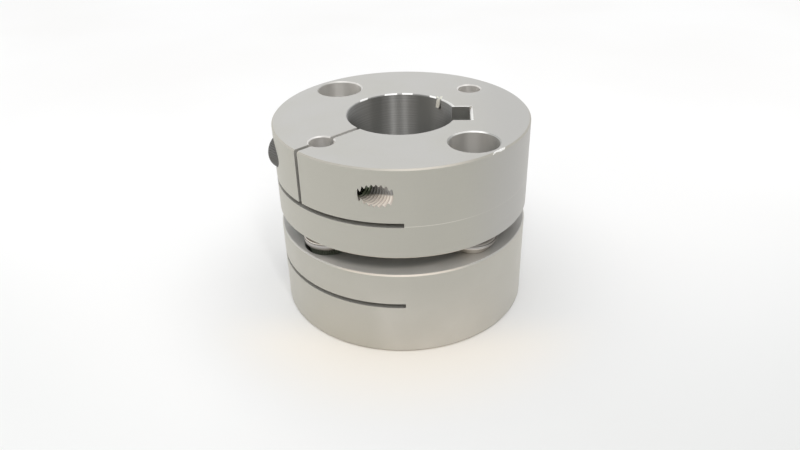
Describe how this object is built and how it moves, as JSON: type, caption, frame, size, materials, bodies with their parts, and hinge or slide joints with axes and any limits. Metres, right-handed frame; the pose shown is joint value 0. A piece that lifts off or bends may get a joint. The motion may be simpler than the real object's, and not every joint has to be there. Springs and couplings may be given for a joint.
{
  "type": "disc coupling",
  "caption": "Flexible disc coupling: clamp hubs split and sawn part-way round, joined through a pack of thin spring plates, each hub bored and keyed for a shaft.",
  "frame": {"origin": "centre of the lower hub's outer face, on the shaft axis, where the coupling stands", "axes": "+Z along the shaft axis from the lower hub to the upper one, +X along both keyways"},
  "size_m": [0.057, 0.057, 0.0441],
  "materials": {
    "hub": "fine matt clear anodised, bare machined bore",
    "spring_plate": "rolled stainless spring steel",
    "collar": "turned stainless steel",
    "washer": "turned stainless steel",
    "disc_bolt": "black oxide",
    "clamp_screw": "black oxide"
  },
  "bodies": {
    "root": {"upper_hub": "hub", "lower_hub": "hub", "upper_clamp_screw": "clamp_screw", "lower_clamp_screw": "clamp_screw", "disc_plate_1": "spring_plate", "disc_plate_2": "spring_plate", "disc_plate_3": "spring_plate", "disc_plate_4": "spring_plate", "upper_collar_1": "collar", "upper_shim_washer_1": "washer", "upper_washer_1": "washer", "upper_disc_bolt_1": "disc_bolt", "upper_collar_2": "collar", "upper_shim_washer_2": "washer", "upper_washer_2": "washer", "upper_disc_bolt_2": "disc_bolt", "lower_collar_1": "collar", "lower_shim_washer_1": "washer", "lower_washer_1": "washer", "lower_disc_bolt_1": "disc_bolt", "lower_collar_2": "collar", "lower_shim_washer_2": "washer", "lower_washer_2": "washer", "lower_disc_bolt_2": "disc_bolt"}
  },
  "joints": []
}
